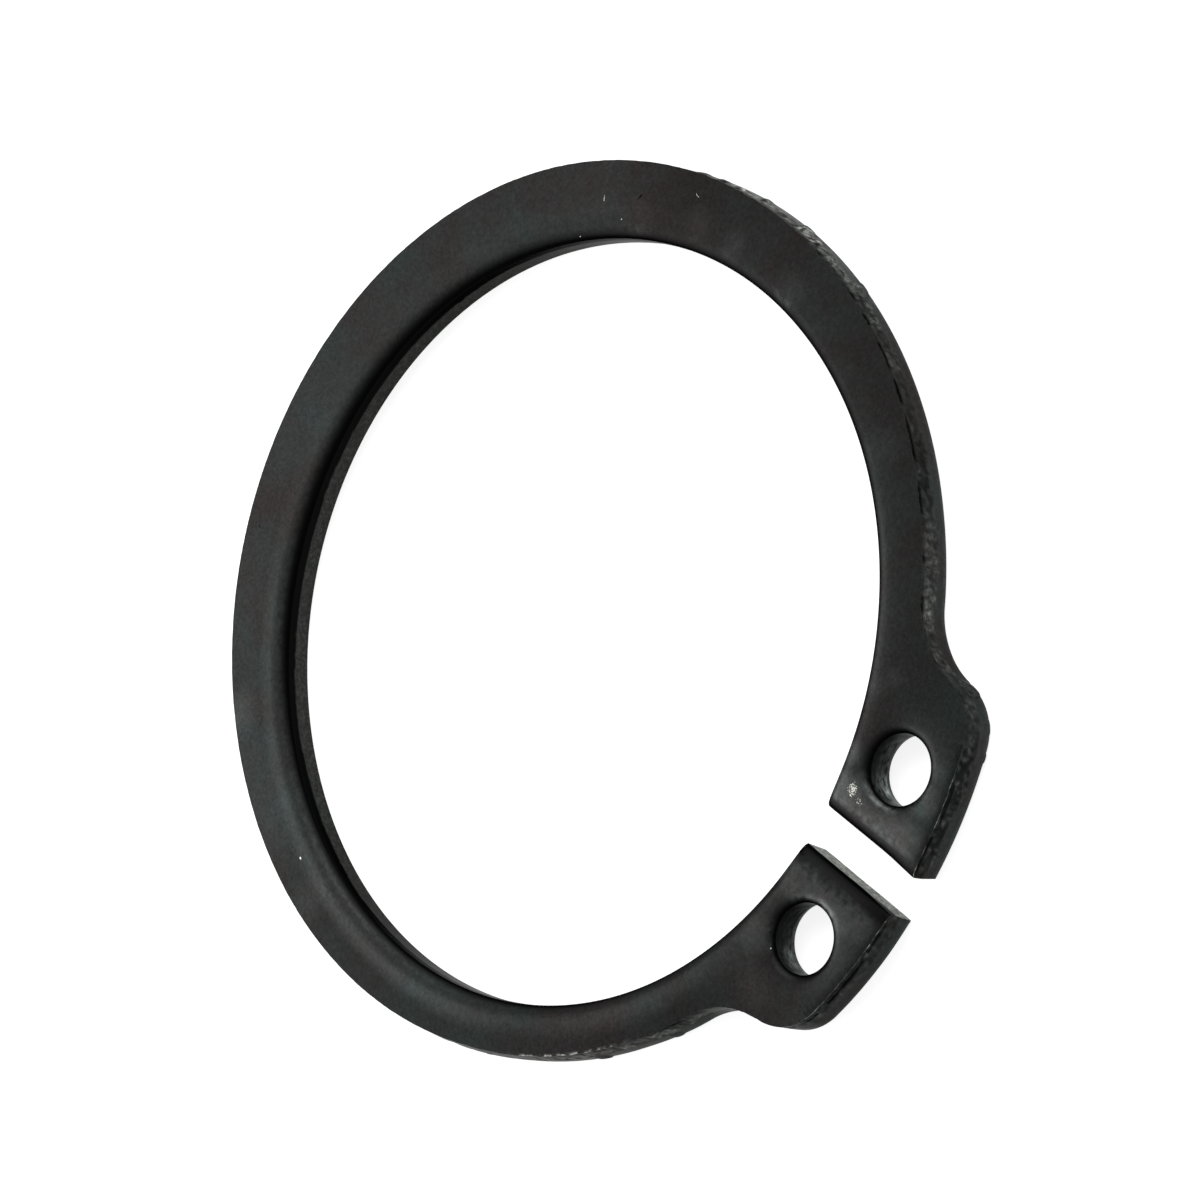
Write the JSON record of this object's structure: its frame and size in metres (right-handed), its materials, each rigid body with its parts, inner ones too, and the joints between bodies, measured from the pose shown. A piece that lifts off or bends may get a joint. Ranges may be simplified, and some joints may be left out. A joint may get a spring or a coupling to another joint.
{
  "type": "external retaining ring",
  "caption": "Open spring steel ring, widest opposite its gap, with a lug and a plier hole at each end; snaps into a shaft groove to hold parts in place.",
  "frame": {"origin": "centre of the inner circle, on the underside that the ring lies on", "axes": "+Z along the ring's axis, from the underside to the face with the rolled inner edge; the gap between the lugs lies toward -Y; +X completes the right-handed frame"},
  "size_m": [0.0349, 0.0378, 0.0015],
  "materials": {
    "phosphated_spring_steel": "black phosphated and oiled, semi-matt"
  },
  "bodies": {
    "root": {"retaining_ring": "phosphated_spring_steel"}
  },
  "joints": []
}
